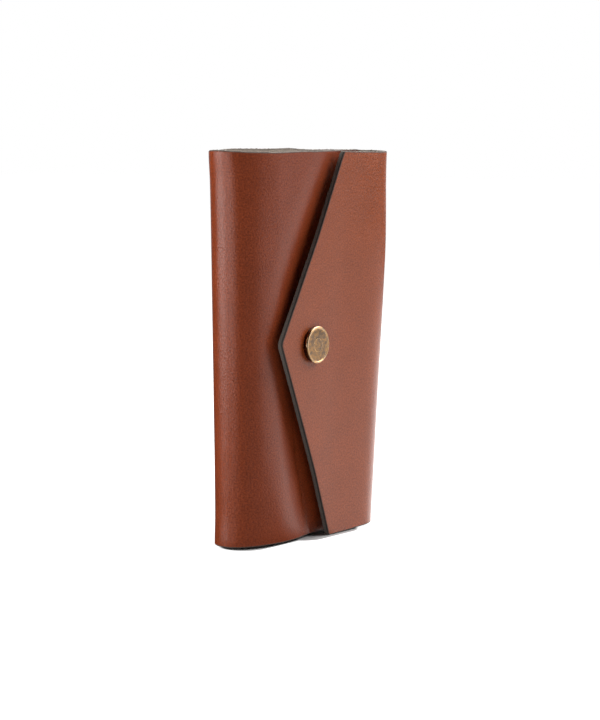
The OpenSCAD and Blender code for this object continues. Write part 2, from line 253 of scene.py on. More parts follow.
def section(fold, q, z):
    """Plan position of the grain side at a distance q along the sheet from the middle of a fold.

    Up to a quarter turn each way the line is an arc, and beyond that it runs straight on. A
    leaning cylinder is cut by a level plane in an arc that is drawn out along X by one over the
    cosine of its lean.
    """
    bent = np.clip(q, -fold.half, fold.half)
    theta = math.pi / 2 + fold.turn * (bent + fold.half) / fold.radius
    x = fold.line_x(z) + fold.radius * np.cos(theta) * fold.widen + fold.turn * np.abs(q - bent)
    return x, fold.centre[1] + fold.radius * np.sin(theta) + 0 * x


# Neighbours to each side that count in an eased point
EASE_SIDE = 7


def eased_section(fold, q, z, ease):
    """The section with its bend easing in and out: each point is an average over its neighbours.

    The weights are (1 - t^2)^2. The reach of the average is ease beside the ends of the arc, and
    shrinks to a third of it at the middle of the fold.
    """
    t = np.arange(-EASE_SIDE, EASE_SIDE + 1) / (EASE_SIDE + 1)
    weight = (1 - t * t) ** 2
    weight /= weight.sum()
    reach = ease * (1 / 3 + 2 / 3 * smooth_step(np.abs(q), 0, fold.half))
    x, y = 0, 0
    for shift, share in zip(t, weight):
        px, py = section(fold, q + reach * shift, z)
        x, y = x + share * px, y + share * py
    return x, y


def sheet_point(fold, q, z, depth, leather):
    """Point of the sheet at a distance q from the middle of a fold, a height and a depth.

    The depth is taken along the normal of the eased section, which is its slope turned a quarter.
    """
    step = 0.02 * MM
    x, y = eased_section(fold, q, z, leather.ease)
    ax, ay = eased_section(fold, q + step, z, leather.ease)
    bx, by = eased_section(fold, q - step, z, leather.ease)
    run = np.hypot(ax - bx, ay - by)
    nx, ny = (ay - by) / run * fold.turn, -(ax - bx) / run * fold.turn
    points = np.stack([x - nx * depth, y - ny * depth, z + edge_lift(fold, q, z)], -1)
    points = flare_fold(points, fold, leather)
    return swell_front(points, leather) if fold is LEFT else lift_flap(points)


def sheet_u(fold, q, z):
    """Distance along the whole sheet: X on the back panel, and on from there round each fold."""
    return fold.line_x(z) - fold.turn * (q + fold.half)


def flap_cover(z):
    """Distance from the left fold's line to the flap's edge at a height: straight to its point."""
    leather = values()[0]
    tip_z = leather.tip_share * HEIGHT
    tip_x = RIGHT.line_x(HEIGHT / 2) - leather.tip_reach
    low = RIGHT.line_x(0) - leather.foot_reach
    high = RIGHT.line_x(HEIGHT) - leather.top_reach
    below = low + (tip_x - low) * z / tip_z
    above = tip_x + (high - tip_x) * (z - tip_z) / (HEIGHT - tip_z)
    return np.where(z < tip_z, below, above) - LEFT.line_x(z)


# The swell starts this far from the left fold's line. A part of it, for a gentler rise, is full
# only further on than the crest.
SWELL_START, SWELL_END = -10 * MM, 26 * MM
GENTLE_PART = 0.2
# Least distance from the left fold's line that counts for the flap's edge, and how gradually it
# takes over
LEAST_COVER, COVER_BLEND = 20 * MM, 8 * MM
# Share of the height from the snap at which the snap no longer holds the swell down
SNAP_RANGE = 0.5
# How far behind the fold's line the swell starts, as a share of its radius
SWELL_BACK = 0.2


def swell_front(points, leather):
    """The left fold and the front panel bow towards -Y, and straighten beside the flap's edge.

    The push is the swell, which is smaller at the snap's height, times three shares. The first
    rises smoothly, for the most part from the fold to the crest and for the rest beyond it. The
    second is full at the front of the fold and nothing at its back. The third falls from the
    turn on, which is a distance ahead of the flap's edge: along a parabola that goes over into a
    straight line, down to the panel's own plane. The edge is a smooth maximum of the flap's
    cover and a least distance: half their sum and half the root of the sum of the squares of
    their difference and the blend.
    """
    x, y, z = points[..., 0], points[..., 1], points[..., 2]
    run = x - LEFT.line_x(z)
    height = np.clip(z, 0, HEIGHT)
    from_snap = smooth_step(np.abs(height / HEIGHT - leather.tip_share), 0, SNAP_RANGE)
    size = leather.swell * (1 - leather.snap_hold * (1 - from_snap))
    cover = flap_cover(height)
    edge = (cover + LEAST_COVER + np.hypot(cover - LEAST_COVER, COVER_BLEND)) / 2
    turn = edge - leather.turn_foot + (leather.turn_foot - leather.turn_top) * height / HEIGHT
    main_rise = smooth_step(run, SWELL_START, leather.crest)
    rise = main_rise + GENTLE_PART * (smooth_step(run, SWELL_START, SWELL_END) - main_rise)
    past = np.maximum(run - turn, 0)
    slide = np.where(
        past < leather.bend, past**2 / (2 * leather.bend), past - leather.bend / 2
    )
    fall = np.maximum(1 - slide / leather.drop, 0)
    front = smooth_step(-(y - LEFT.centre[1]), -LEFT.radius * SWELL_BACK, LEFT.radius)
    moved = points.copy()
    moved[..., 1] -= size * rise * fall * front
    return moved


# How the flap's lift starts: slowly within about this distance from the fold's line
LIFT_ROOT = 6 * MM


def flap_rise(reach):
    """How far the flap stands off: d^2 / (d + root), scaled to the whole lift at the point."""
    leather = values()[0]
    d = np.clip(reach, 0, None)
    full = leather.tip_reach**2 / (leather.tip_reach + LIFT_ROOT)
    return leather.flap_lift * d * d / (d + LIFT_ROOT) / full


def lift_flap(points):
    """The flap leans outwards from its fold, because the swollen front panel holds it off."""
    front = smooth_step(RIGHT.centre[1] - points[..., 1], 0, RIGHT.radius / 2)
    moved = points.copy()
    moved[..., 1] -= flap_rise(RIGHT.line_x(points[..., 2]) - points[..., 0]) * front
    return moved


# The flare as (distance from an end that it reaches, strength, power of its smooth share)
FLARE_PARTS = ((14 * MM, 0.8, 2), (30 * MM, 0.4, 1))
# The belly is nothing at the top and full from this share of the height below it on
BELLY_TOP = 0.28
# Factors of the belly as (least factor, shares of the height between which it grows to 1)
BELLY_FACTORS = ((0.6, 0.15, 0.72), (0.8, 0.0, 0.2))
# How far into the flap the belly carries its root forwards
BELLY_REACH = 24 * MM


def flare_fold(points, fold, leather):
    """The left fold's ends spread a little, and the right fold has a belly over its height.

    The flare is the square of a smooth share over the last few millimetres, with a weaker one
    over a quarter of the height. The belly swells in below the top, is fullest above half
    height and is weaker to the foot; it also carries the flap's root forwards.
    """
    z = np.clip(points[..., 2], 0, HEIGHT)
    from_end = np.minimum(z, HEIGHT - z)
    beyond = (points[..., 0] - fold.line_x(z)) * -fold.turn
    moved = points.copy()
    if fold is LEFT:
        push = leather.flare * sum(
            strength * (1 - smooth_step(from_end, 0, reach)) ** power
            for reach, strength, power in FLARE_PARTS
        )
    else:
        share = z / HEIGHT
        push = leather.belly * smooth_step(1 - share, 0, BELLY_TOP)
        for least, low, high in BELLY_FACTORS:
            push *= least + (1 - least) * smooth_step(share, low, high)
        front = smooth_step(fold.centre[1] - points[..., 1], 0, fold.radius)
        moved[..., 1] -= push * front * (1 - smooth_step(-beyond, 0, BELLY_REACH))
    moved[..., 0] += -fold.turn * push * smooth_step(beyond, 0, fold.radius)
    return moved


# Uneven cutting of the top edge and the foot: (place along the sheet, height) in millimetres,
# from the front panel's free end to the flap's corner
TOP_LINE = (
    (-118, 1.0), (-103, 0.7), (-88, 0.35), (-68, 0.0), (-58, 0.15), (-47, 0.75),
    (-42, 0.8), (-39, 0.4), (-34, 0.9), (-26, 1.3), (-12, 1.05), (4, 1.3),
    (15, 0.95), (32, 0.8), (48, 0.6), (64, 0.1), (87, 0.35),
)
FOOT_LINE = ((-60, 0.0), (42, 0.0), (56, -0.2), (66, -0.5), (77, -0.7))
# Distances from the top edge and the foot over which their unevenness fades out
TOP_FADE, FOOT_FADE = 25 * MM, 40 * MM
# Small waves of the top's cut line, as (height in millimetres, cell, seed)
WAVES = ((0.12, 17 * MM, 21), (0.06, 5 * MM, 22))


def edge_lift(fold, q, z):
    """Height by which the cuts at the top and the foot are off level, faded to the middle."""
    u = sheet_u(fold, q, z)
    top = np.interp(u / MM, *zip(*TOP_LINE)) * MM
    foot = np.interp(u / MM, *zip(*FOOT_LINE)) * MM
    top += sum(size * patchy(u, 0 * u, cell, seed) for size, cell, seed in WAVES) * MM
    top *= smooth_step(z, HEIGHT - TOP_FADE, HEIGHT)
    return top + foot * (1 - smooth_step(z, 0, FOOT_FADE))


# ---------------------------------------------------------------- closed shells

GRAIN, EDGE, FLESH = 0, 1, 2
# Cells of the fray's noise: single fibres, bundles, long waves and tufts
FIBRE, BUNDLE, WAVE, TUFT = 0.35 * MM, 0.9 * MM, 7 * MM, 0.55 * MM
# Only noise above this level makes a tuft
TUFT_LEVEL = 0.55
# What fibres and bundles add to the fine fray, and fine fray, waves and tufts to the whole
FIBRE_MIX, BUNDLE_MIX = 0.55, 0.45
FINE_MIX, WAVE_MIX, TUFT_MIX = 0.45, 0.25, 0.9
# Shares of the thickness between which the fray grows
FRAY_START, FRAY_FULL = 0.05, 0.95
# Points on each rounding and on the straight part of a cut edge's profile, and on a corner's arc
ROUND_POINTS, CUT_POINTS, CORNER_POINTS = 5, 8, 25
# Points of an outline that are nearer than this count as one
SAME_PLACE = 1e-9
# The edge looks down where its inward way points up by more than this
FACING_DOWN = 0.9


def edge_profile(leather):
    """Profile of a cut edge as (inset, depth) pairs from the grain side to the flesh side.

    A quarter circle of the grain radius, a straight cut and a quarter circle of the flesh radius.
    """
    a = np.linspace(0, math.pi / 2, ROUND_POINTS)
    grain, flesh = leather.grain_edge_r, leather.flesh_edge_r
    cut = np.linspace(grain, LEATHER_T - flesh, CUT_POINTS)[1:-1]
    inset = np.concatenate([grain * (1 - np.sin(a)), 0 * cut, flesh * (1 - np.cos(a))])
    depth = np.concatenate([grain * (1 - np.cos(a)), cut, LEATHER_T - flesh * (1 - np.sin(a))])
    return inset, depth


def frayed(u, v, depth, leather):
    """How far a cut edge stands in or out: patchy noise of four sizes, which grows with depth."""
    share = smooth_step(depth / LEATHER_T, FRAY_START, FRAY_FULL)
    fine = patchy(u, v, FIBRE, 11) * FIBRE_MIX + patchy(u + depth, v, BUNDLE, 12) * BUNDLE_MIX
    wave = patchy(u, v, WAVE, 13)
    tuft = np.clip(patchy(u + 2 * depth, v - depth, TUFT, 14) - TUFT_LEVEL, 0, 1) * 2
    return leather.fray * share * (FINE_MIX * fine + WAVE_MIX * wave + TUFT_MIX * tuft)


def run_lengths(line):
    """Length of a line from its start to each of its points."""
    return np.concatenate([[0], np.cumsum(np.linalg.norm(np.diff(line, axis=0), axis=1))])


def seam_faces(outer, inner, *rims):
    """Faces of a flat seam: quads between outer and inner points, and a face at each rim."""
    quads = np.stack([outer[:-1], outer[1:], inner[1:], inner[:-1]], -1)
    return quads.tolist() + [rim.tolist() for rim in rims]


def new_piece(name, points, faces, materials, attribute, amounts):
    """A mesh object from points and faces, with one number at each point as an attribute.

    Its volume is worked out from its quads, each as two triangles with the middle of all
    points, and all faces are turned if it is inside out.
    """
    p = points[np.array([f for f in faces if len(f) == 4])] - points.mean(0)
    triple = np.cross(p[:, 1], p[:, 2]) * p[:, 0] + np.cross(p[:, 2], p[:, 3]) * p[:, 0]
    if triple.sum() < 0:
        faces = [f[::-1] for f in faces]
    mesh = bpy.data.meshes.new(name)
    mesh.from_pydata(points.tolist(), [], faces)
    mesh.polygons.foreach_set("use_smooth", np.ones(len(faces), bool))
    layer = mesh.attributes.new(attribute, "FLOAT", "POINT")
    layer.data.foreach_set("value", amounts.astype(np.float32))
    for material in materials:
        mesh.materials.append(material)
    mesh.update()
    if mesh.validate():
        raise RuntimeError(f"{name}: the mesh had faults")
    piece = bpy.data.objects.new(name, mesh)
    bpy.context.scene.collection.objects.link(piece)
    return piece


def make_shell(name, points, uv, depth, faces, sides, normals):
    """A piece of leather from a grid of points, and faces with the number of their side.

    The depth under the grain goes into an attribute, and the place on the sheet into the UV map.
    """
    share = depth.ravel() / LEATHER_T
    points = points.reshape(-1, 3)
    piece = new_piece(name, points, faces, leather_materials(), "leather_depth", share)
    mesh = piece.data
    mesh.polygons.foreach_set("material_index", np.array(sides, np.int32))
    layer = mesh.uv_layers.new(name="sheet")
    corner_vertex = np.zeros(len(mesh.loops), np.int32)
    mesh.loops.foreach_get("vertex_index", corner_vertex)
    layer.data.foreach_set("uv", uv.reshape(-1, 2)[corner_vertex].astype(np.float32).ravel())
    mesh.normals_split_custom_set_from_vertices(normals.reshape(-1, 3).tolist())
    return piece


def surface_normals(place, a, b, depth, outward):
    """Unit normals of a surface place(a, b, depth), as the cross product of its two slopes.

    Each slope is the difference of two points a hundredth of a millimetre to each side.
    """
    step = 0.01 * MM
    along_a = place(a + step, b, depth) - place(a - step, b, depth)
    along_b = place(a, b + step, depth) - place(a, b - step, depth)
    n = np.cross(along_a, along_b)
    n /= np.linalg.norm(n, axis=-1, keepdims=True)
    flip = np.sign(np.einsum("...i,...i->...", n, outward))
    return n * flip[..., None]


def side_normals(place, a, b, depth, outward, grain, flesh):
    """Normals of the points on the grain side and the flesh side, and zero on the cut edge.

    grain and flesh are the columns of the two sides. Blender works out a normal given as zero.
    """
    normals = np.zeros((*a.shape, 3))
    for part, sign in ((grain, 1), (flesh, -1)):
        pa, pb = a[:, part], b[:, part]
        normals[:, part] = surface_normals(place, pa, pb, depth[:, part], sign * outward(pa, pb))
    return normals


def strip_shell(name, place, sheet_u, columns, outward, leather, rows=48):
    """A strip of the sheet between two seams, from the foot to the top of the case.

    place(c, z, depth) gives a point, with c running across the strip. One closed ring goes up
    the grain side, over the top cut, down the flesh side and under the foot; the rings stand
    side by side along c, and flat seams close the two ends.
    """
    inset, depth = edge_profile(leather)
    up = np.linspace(0, 1, rows)
    grain_z = leather.grain_edge_r + up * (HEIGHT - 2 * leather.grain_edge_r)
    flesh_z = leather.flesh_edge_r + up * (HEIGHT - 2 * leather.flesh_edge_r)
    rim_in, rim_depth = inset[1:-1], depth[1:-1]
    ring_z = np.concatenate([grain_z, HEIGHT - rim_in, flesh_z[::-1], rim_in[::-1]])
    ring_depth = np.concatenate([0 * grain_z, rim_depth, 0 * flesh_z + LEATHER_T, rim_depth[::-1]])
    count, flesh_start = len(ring_z), rows + len(rim_in)
    flesh_end = flesh_start + rows
    grain, top = slice(0, rows), slice(rows, flesh_start)
    flesh, foot = slice(flesh_start, flesh_end), slice(flesh_end, count)
    z, d = (np.tile(ring, (len(columns), 1)) for ring in (ring_z, ring_depth))
    c = np.asarray(columns)[:, None] + 0 * z
    u = sheet_u(c, z)
    z[:, top] += frayed(u[:, top], z[:, top], d[:, top], leather)
    z[:, foot] += np.abs(frayed(u[:, foot], z[:, foot], d[:, foot], leather))
    normals = side_normals(place, c, z, d, outward, grain, flesh)
    uv = np.stack([u, np.where(z > HEIGHT / 2, z + d, z - d)], -1)
    index = np.arange(c.size).reshape(-1, count)
    a, b = index[:-1], index[1:]
    faces = np.stack([a, np.roll(a, -1, 1), np.roll(b, -1, 1), b], -1).reshape(-1, 4).tolist()
    ring_side = np.full(count, EDGE)
    ring_side[: rows - 1] = GRAIN
    ring_side[flesh_start : flesh_end - 1] = FLESH
    sides = np.tile(ring_side, len(columns) - 1).tolist()
    for ring, turn in ((index[0], 1), (index[-1], -1)):
        low = np.concatenate([ring[flesh_end - 1 :], ring[:1]])
        high = ring[rows - 1 : flesh_start + 1]
        ends = [f[::turn] for f in seam_faces(ring[grain], ring[flesh][::-1], low, high)]
        faces += ends
        sides += [EDGE] * len(ends)
    return make_shell(name, place(c, z, d), uv, d, faces, sides, normals)


def rounded_outline(corners, radii):
    """An open line through corners, each rounded by an arc that touches both its sides."""
    parts = [corners[:1]]
    for before, at, after, r in zip(corners[:-2], corners[1:-1], corners[2:], radii):
        a = (before - at) / np.linalg.norm(before - at)
        b = (after - at) / np.linalg.norm(after - at)
        half = math.acos(np.clip(a @ b, -1, 1)) / 2
        centre = at + (a + b) / np.linalg.norm(a + b) * r / math.sin(half)
        start, end = at + a * r / math.tan(half) - centre, at + b * r / math.tan(half) - centre
        swing = math.atan2(start[0] * end[1] - start[1] * end[0], start @ end)
        t = np.linspace(0, swing, CORNER_POINTS)[:, None]
        side = np.array([-start[1], start[0]])
        parts.append(centre + start * np.cos(t) + side * np.sin(t))
    parts.append(corners[-1:])
    return np.concatenate(parts)


def resample(line, step):
    """Points at even distances along a line, and the unit normals to their left."""
    lengths = run_lengths(line)
    keep = np.concatenate([[True], np.diff(lengths) > SAME_PLACE])
    lengths, line = lengths[keep], line[keep]
    s = np.linspace(0, lengths[-1], int(lengths[-1] / step) + 1)
    at = np.stack([np.interp(s, lengths, line[:, k]) for k in (0, 1)], -1)
    slope = np.gradient(at, axis=0)
    slope /= np.linalg.norm(slope, axis=1, keepdims=True)
    return at, np.stack([-slope[:, 1], slope[:, 0]], -1)


# Distance between points along a panel's free edge, and height of a fold line's two ends that
# takes no row of points, because the rows that go round the corners start there
EDGE_STEP = 0.24 * MM
ROW_MARGIN = 3 * MM


def panel_shell(name, place, sheet_u, fold_x, outline, outward, leather, columns):
    """A panel with one seam along a fold line and a free cut edge all round the rest.

    outline runs from the foot of the fold line round the free edge to its top, as (x, z). Each
    row of points starts on the fold line, goes straight to the edge, round the edge profile and
    back on the flesh side. Flat seams close the rows along the fold line.
    """
    edge, left = resample(outline, EDGE_STEP)
    inset, depth = edge_profile(leather)
    middle = len(edge) // 2
    inward = left * np.sign((fold_x(HEIGHT / 2) - edge[middle, 0]) * left[middle, 0])
    inward[0], inward[-1] = (0, 1), (0, -1)
    run = run_lengths(edge)
    start_z = ROW_MARGIN + (HEIGHT - 2 * ROW_MARGIN) * run / run[-1]
    start = np.stack([fold_x(start_z), start_z], -1)[:, None]
    t = np.linspace(0, 1, columns)[None, :, None]
    grain_end = (edge + inward * leather.grain_edge_r)[:, None]
    flesh_end = (edge + inward * leather.flesh_edge_r)[:, None]
    grain = start * (1 - t) + grain_end * t
    flesh = start * (1 - t) + flesh_end * t
    rim_depth = np.tile(depth[1:-1], (len(edge), 1))
    edge_u = sheet_u(edge[:, :1], edge[:, 1:]) + 0 * rim_depth
    out = frayed(edge_u, edge[:, 1:] + 0 * rim_depth, rim_depth, leather)
    at_foot = inward[:, 1:] > FACING_DOWN
    out = np.where(at_foot, -np.abs(out), out)
    rim = edge[:, None] + inward[:, None] * (inset[None, 1:-1] - out)[..., None]
    flat = np.concatenate([grain, rim, flesh[:, ::-1]], 1)
    d = np.concatenate([0 * grain[..., 0], rim_depth, 0 * flesh[..., 0] + LEATHER_T], 1)
    x, z = flat[..., 0], flat[..., 1]
    flesh_start = columns + rim_depth.shape[1]
    grain_side, flesh_side = slice(0, columns), slice(flesh_start, None)
    normals = side_normals(place, x, z, d, outward, grain_side, flesh_side)
    spread = np.concatenate([0 * grain[..., 0], rim_depth, 0 * flesh[..., 0]], 1)
    uv = np.stack([sheet_u(x, z) - inward[:, :1] * spread, z - inward[:, 1:] * spread], -1)
    index = np.arange(x.size).reshape(x.shape)
    quads = np.stack([index[:-1, :-1], index[:-1, 1:], index[1:, 1:], index[1:, :-1]], -1)
    row_side = np.full(x.shape[1] - 1, EDGE)
    row_side[: columns - 1] = GRAIN
    row_side[flesh_start:] = FLESH
    seam = np.stack([index[:-1, -1], index[1:, -1], index[1:, 0], index[:-1, 0]], -1)
    ends = []
    for row, turn in ((index[0], -1), (index[-1], 1)):
        outer, inner = row[:columns], row[flesh_start:][::-1]
        ends += [f[::turn] for f in seam_faces(outer, inner, row[columns - 1 : flesh_start + 1])]
    faces = quads.reshape(-1, 4).tolist() + seam.tolist() + ends
    sides = np.tile(row_side, len(edge) - 1).tolist() + [EDGE] * (len(seam) + len(ends))
    return make_shell(name, place(x, z, d), uv, d, faces, sides, normals)


# ---------------------------------------------------------------- finishes


def node_adder(tree):
    """Empties a node tree, and gives a helper that adds a node to it.

    The helper takes the node's inputs in order, and its settings and further inputs by name.
    Each input is a socket to link from or a value, or None to leave it as it is.
    """
    tree.nodes.clear()

    def fill(socket, value):
        if isinstance(value, bpy.types.NodeSocket):
            tree.links.new(value, socket)
        elif value is not None:
            socket.default_value = value

    def add(kind, *inputs, **named):
        node = tree.nodes.new(kind)
        for key, value in named.items():
            if key in node.inputs:
                fill(node.inputs[key], value)
            else:
                setattr(node, key, value)
        for socket, value in zip(node.inputs, inputs):
            fill(socket, value)
        return node

    return add


def new_material(name):
    """An empty node material, and a helper that adds nodes to it."""
    material = bpy.data.materials.new(name)
    material.use_nodes = True
    return material, node_adder(material.node_tree)


def finish_material(name, maker):
    """Makes a material the first time it is asked for."""
    found = bpy.data.materials.get(name)
    return found if found else maker(name)


def maths(add, operation, *values):
    """What a math node makes of values, each a socket or a number."""
    return add("ShaderNodeMath", *values, operation=operation).outputs[0]


def vector_maths(add, operation, *values):
    """What a vector math node makes of values: a vector, or a number for a length or product."""
    node = add("ShaderNodeVectorMath", *values, operation=operation)
    return node.outputs["Value" if operation in ("LENGTH", "DOT_PRODUCT") else "Vector"]


def mapped(add, value, low, high, to_low=0.0, to_high=1.0, smooth=False):
    """A value taken from one range to another, in proportion or in a smooth S."""
    kind = "SMOOTHSTEP" if smooth else "LINEAR"
    limits = (low, high, to_low, to_high)
    return add("ShaderNodeMapRange", value, *limits, interpolation_type=kind).outputs[0]


def noise(add, place, scale, detail, roughness=0.5):
    """Fractal noise from 0 to 1: scale cells a metre, finer by detail octaves."""
    node = add("ShaderNodeTexNoise", Vector=place, Scale=scale, Detail=detail, Roughness=roughness)
    return node.outputs["Fac"]


def ramp(add, source, *stops):
    """Colour ramp of a value: stops are (place, colour)."""
    node = add("ShaderNodeValToRGB", source)
    elements = node.color_ramp.elements
    while len(elements) < len(stops):
        elements.new(0.5)
    for element, (place, colour) in zip(elements, stops):
        element.position = place
        element.color = (*colour, 1)
    return node.outputs["Color"]


def scaled(colour, k):
    """A colour made lighter or darker."""
    return tuple(min(1.0, c * k) for c in colour)


def mixed(a, b, share):
    """A colour between two colours."""
    return tuple(x * (1 - share) + y * share for x, y in zip(a, b))


def grey(level):
    """A grey of a level."""
    return (level, level, level)


def sheet_place(add):
    """Place on the flat sheet of leather, in metres."""
    return add("ShaderNodeUVMap", uv_map="sheet").outputs["UV"]


def surface(add, colour, roughness, height, strength, distance, metallic=0.0, sheen=0.0):
    """Ends a material with one surface. Its bump is height times strength times distance."""
    bump = add("ShaderNodeBump", Height=height, Strength=strength, Distance=distance)
    normal = {"Normal": bump.outputs["Normal"], "Sheen Weight": sheen}
    shader = add("ShaderNodeBsdfPrincipled", colour, metallic, roughness, **normal)
    add("ShaderNodeOutputMaterial", shader.outputs[0])


def grain_leather(name):
    """Smooth vegetable leather: pebbled grain in the bump, and patches and specks in the colour.

    A painted tone runs along the sheet in a smooth S: a little deeper on the front panel, as
    painted shade of the flap over it, and a little paler and whiter on the flap, as painted sheen.
    """
    material, add = new_material(name)
    uv = sheet_place(add)
    patch = noise(add, uv, 95.0, 3.0, 0.55)
    speck = noise(add, uv, 1700.0, 2.0, 0.6)
    base = tuple(values()[2].grain)
    patches = ramp(add, patch, (0.3, scaled(base, 0.93)), (0.7, scaled(base, 1.07)))
    specks = ramp(add, speck, (0.36, (0.60, 0.54, 0.48)), (0.64, (1.06, 1.07, 1.08)))
    along = add("ShaderNodeSeparateXYZ", uv).outputs["X"]
    # Painted light along the sheet: deeper on the front panel for the flap's shade, paler and
    # whiter on the flap for its sheen
    tone = mapped(add, along, LEFT.centre[0], RIGHT.centre[0] + 2 * RIGHT.half, smooth=True)
    painted_light_tone = ramp(add, tone, (0.0, (0.95, 0.89, 0.85)), (1.0, (1.16, 1.28, 1.18)))
    colour = vector_maths(add, "MULTIPLY", vector_maths(add, "MULTIPLY", patches, painted_light_tone), specks)
    pebble = add(
        "ShaderNodeTexVoronoi", feature="SMOOTH_F1", Vector=uv, Scale=1500.0, Smoothness=0.6
    )
    crease = noise(add, uv, 2600.0, 3.0)
    height = maths(add, "MULTIPLY_ADD", pebble.outputs["Distance"], 0.8, crease)
    surface(add, colour, mapped(add, patch, 0, 1, 0.27, 0.33), height, 0.45, 0.00012)
    return material


def cut_edge_leather(name):
    """Cut edge: dark dye beside the grain, grey brown fibres through the thickness.

    A pale beige is painted in clumps on the ends that face up, as a painted highlight of the light
    from above.
    """
    colours = values()[2]
    grain, edge, flesh = tuple(colours.grain), tuple(colours.cut_edge), tuple(colours.flesh)
    material, add = new_material(name)
    uv = sheet_place(add)
    layers = ramp(
        add,
        add("ShaderNodeAttribute", attribute_name="leather_depth").outputs["Fac"],
        (0.0, mixed(grain, edge, 0.6)),
        (0.10, scaled(edge, 0.20)),
        (0.24, scaled(edge, 0.34)),
        (0.42, edge),
        (0.85, scaled(edge, 1.1)),
        (1.0, mixed(edge, flesh, 0.3)),
    )
    fibre = noise(add, uv, 2600.0, 4.0, 0.7)
    tint = ramp(add, fibre, (0.25, grey(0.45)), (0.75, grey(1.0)))
    dark = vector_maths(add, "MULTIPLY", layers, tint)
    normal = add("ShaderNodeNewGeometry").outputs["Normal"]
    # Painted highlight: where the edge faces up it is mixed in clumps towards the pale flesh colour
    painted_top_light = mapped(add, add("ShaderNodeSeparateXYZ", normal).outputs["Z"], 0.5, 0.9, smooth=True)
    clump = mapped(add, noise(add, uv, 260.0, 4.0, 0.6), 0.35, 0.65, 0.1, 0.6, smooth=True)
    number_inputs = [None] * 5
    # The edge's colour, with the painted highlight on its upper ends
    fibres = add(
        "ShaderNodeMix",
        maths(add, "MULTIPLY", painted_top_light, clump),
        *number_inputs,
        dark,
        (*flesh, 1),
        data_type="RGBA",
    )
    surface(add, fibres.outputs[2], 0.85, fibre, 0.8, 0.00015, sheen=0.15)
    return material


def flesh_leather(name):
    """Flesh side: matt beige nap with loose fibres."""
    material, add = new_material(name)
    uv = sheet_place(add)
    base = tuple(values()[2].flesh)
    cloud, nap = noise(add, uv, 160.0, 4.0, 0.6), noise(add, uv, 1500.0, 5.0, 0.75)
    broad = ramp(add, cloud, (0.3, scaled(base, 0.78)), (0.7, scaled(base, 1.15)))
    fine = ramp(add, nap, (0.3, (0.62, 0.60, 0.57)), (0.7, grey(1.0)))
    surface(add, vector_maths(add, "MULTIPLY", broad, fine), 0.9, nap, 0.7, 0.0002, sheen=0.3)
    return material


def leather_materials():
    """The three sides of the leather, in the order of the face numbers."""
    return [
        finish_material("leather_grain_side", grain_leather),
        finish_material("leather_cut_edge", cut_edge_leather),
        finish_material("leather_flesh_side", flesh_leather),
    ]


def antique_brass(name):
    """Brass with a dark mottled patina that is worn bright where the surface stands proud.

    Pieces without the wear attribute take the plain kind, which is worn half through all over.
    """
    colours = values()[2]
    material, add = new_material(name)
    place = add("ShaderNodeTexCoord").outputs["Object"]
    mottle = noise(add, place, 1000.0, 4.0, 0.65)
    wear = 0.5
    if name != "antique_brass_plain":
        wear = add("ShaderNodeAttribute", attribute_name="wear").outputs["Fac"]
    spots = mapped(add, mottle, 0.38, 0.62)
    worn = add("ShaderNodeMath", spots, 0.22, wear, operation="MULTIPLY_ADD", use_clamp=True)
    worn = worn.outputs[0]
    patina, brass = tuple(colours.patina), tuple(colours.brass)
    colour = ramp(
        add,
        worn,
        (0.0, scaled(patina, 0.12)),
        (0.24, scaled(patina, 0.68)),
        (0.5, scaled(patina, 1.2)),
        (1.0, brass),
    )
    patches = noise(add, place, 1000.0, 2.0)
    tarnish = ramp(add, patches, (0.4, (0.86, 0.93, 1.16)), (0.6, (1.08, 1.0, 0.88)))
    stained = vector_maths(add, "MULTIPLY", colour, tarnish)
    rough = mapped(add, worn, 0.45, 1, 0.06, 0.3)
    surface(add, stained, rough, mottle, 0.012, 0.00006, metallic=1.0)
    return material


def nickel_steel(name):
    """Nickel plate with faint drawing marks."""
    material, add = new_material(name)
    place = add("ShaderNodeTexCoord").outputs["Object"]
    stretched = add("ShaderNodeMapping", Vector=place, Scale=(1.0, 1.0, 0.12)).outputs[0]
    marks = noise(add, stretched, 2600.0, 3.0)
    base = tuple(values()[2].steel)
    cloud = noise(add, place, 220.0, 3.0)
    colour = ramp(add, cloud, (0.3, scaled(base, 0.88)), (0.7, scaled(base, 1.05)))
    rough = mapped(add, marks, 0, 1, 0.2, 0.36)
    surface(add, colour, rough, marks, 0.12, 0.00005, metallic=1.0)
    return material


# ---------------------------------------------------------------- pieces

# Angle between neighbouring columns of points round a fold
FOLD_STEP = math.radians(1.5)
# Columns of points across the back panel
BACK_COLUMNS = 241
# Heights at which the flap's slanting edges are drawn in furthest, as shares of the case's
# height, and radius of the bend there
HOLLOW_FOOT, HOLLOW_TOP = 0.17, 0.78
HOLLOW_R = 60 * MM


def plan_normal(theta):
    """Direction away from a fold's centre line at plan angle theta."""
    return np.stack([np.cos(theta), np.sin(theta), 0 * theta], -1)


def facing(y):
    """The same direction for every point: along Y."""
    return lambda a, b: np.stack([0 * a, y + 0 * a, 0 * a], -1)


def make_fold(fold, side):
    """The pieces of one fold. Each curves across one hinge, from strip to strip.

    The first and last piece reach from a panel's fold line to the middle of a strip, the others
    from the middle of one strip to the middle of the next.
    """
    leather = values()[0]
    strips = [f"{side}_fold_{i}" for i in range(1, HINGES)]
    for k in range(HINGES):
        hinge_angle = k * STRIP_ANGLE
        low = max(hinge_angle - STRIP_ANGLE / 2, 0)
        high = min(hinge_angle + STRIP_ANGLE / 2, math.pi)
        steps = int(round((high - low) / FOLD_STEP))
        piece = strip_shell(
            f"{side}_fold_leather_{k + 1}",
            lambda c, z, d: sheet_point(fold, c, z, d, leather),
            lambda c, z: sheet_u(fold, c, z),
            np.linspace(low, high, steps + 1) * fold.radius - fold.half,
            lambda c, z: plan_normal(math.pi / 2 + fold.turn * (c + fold.half) / fold.radius),
            leather,
        )
        along = fold.across(math.pi / 2 + fold.turn * hinge_angle)
        if k < len(strips):
            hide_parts(strips[k])
        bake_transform(piece)


